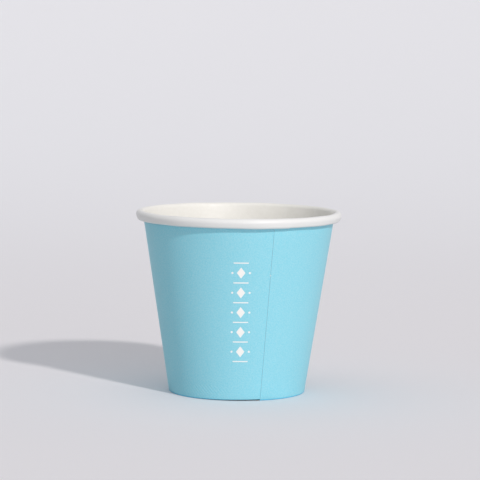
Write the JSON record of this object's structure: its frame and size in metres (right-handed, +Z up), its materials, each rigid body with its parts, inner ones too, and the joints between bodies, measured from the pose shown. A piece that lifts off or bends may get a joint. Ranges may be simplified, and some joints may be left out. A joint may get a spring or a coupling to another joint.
{
  "type": "paper cup",
  "caption": "Tapered two-piece paper cup with a rolled rim, a lapped side seam and a raised base, printed pale blue outside and white inside.",
  "frame": {"origin": "centre of the foot, on the plane that the cup stands on", "axes": "+Z up along the cup's axis towards the mouth; -Y is the front, and the side seam is on the front, 26 degrees towards +X"},
  "size_m": [0.09, 0.09, 0.0798],
  "materials": {
    "printed_board": "matte pale blue print on coated board",
    "white_board": "white board with a thin satin film"
  },
  "bodies": {
    "root": {"side_wall": "printed_board", "base_disc": "white_board"}
  },
  "joints": []
}
